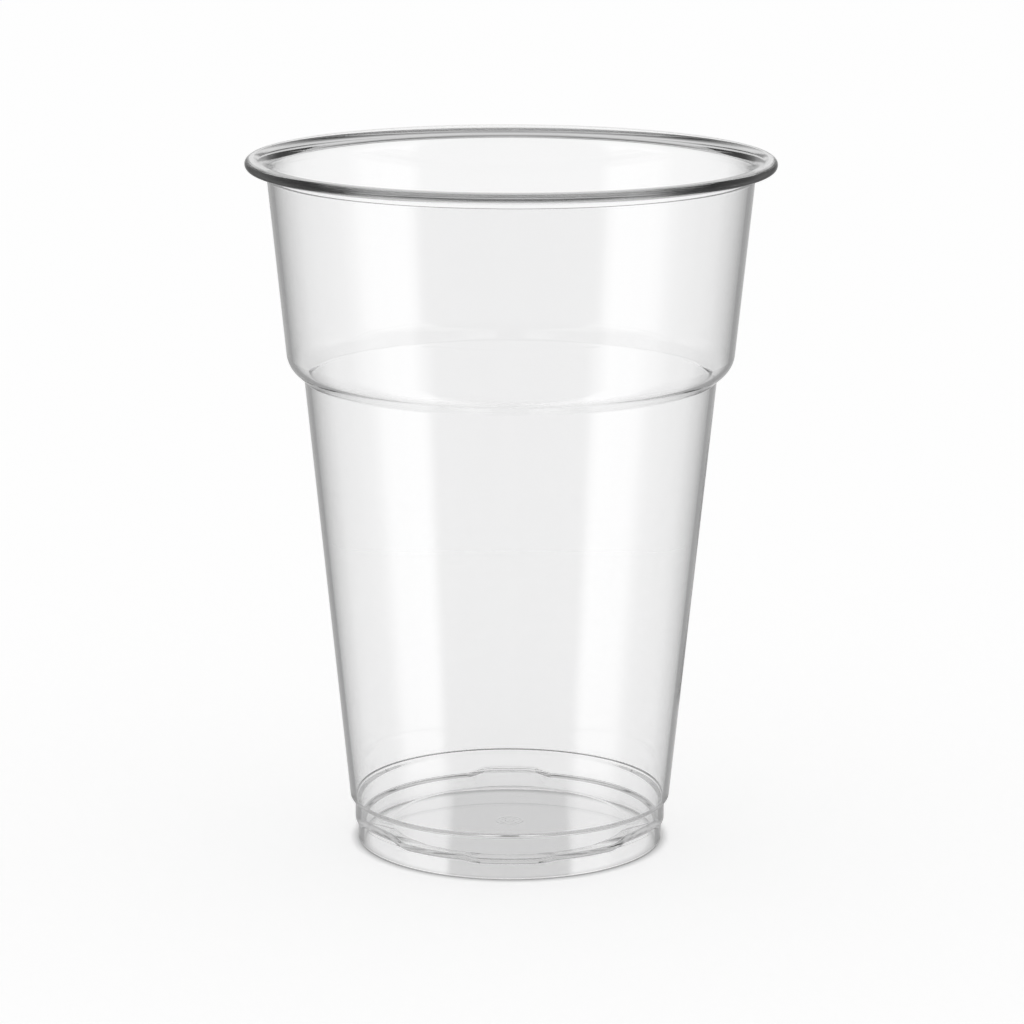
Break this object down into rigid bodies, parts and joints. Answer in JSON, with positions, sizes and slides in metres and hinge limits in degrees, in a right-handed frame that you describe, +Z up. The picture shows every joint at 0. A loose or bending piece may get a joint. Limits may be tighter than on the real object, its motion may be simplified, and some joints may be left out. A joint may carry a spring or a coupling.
{
  "type": "reusable plastic beer cup",
  "caption": "Tapered clear plastic drinking cup with a flat rolled-out rim, a stacking shoulder and a stepped foot, moulded in one piece.",
  "frame": {"origin": "middle of the base, on the surface that the cup stands on", "axes": "+Z up along the cup's axis, towards the mouth; -Y towards the viewer, on the side where the floor's corner dips"},
  "size_m": [0.095, 0.095, 0.1259],
  "materials": {
    "clear_plastic": "clear, polished"
  },
  "bodies": {
    "root": {"cup": "clear_plastic"}
  },
  "joints": []
}
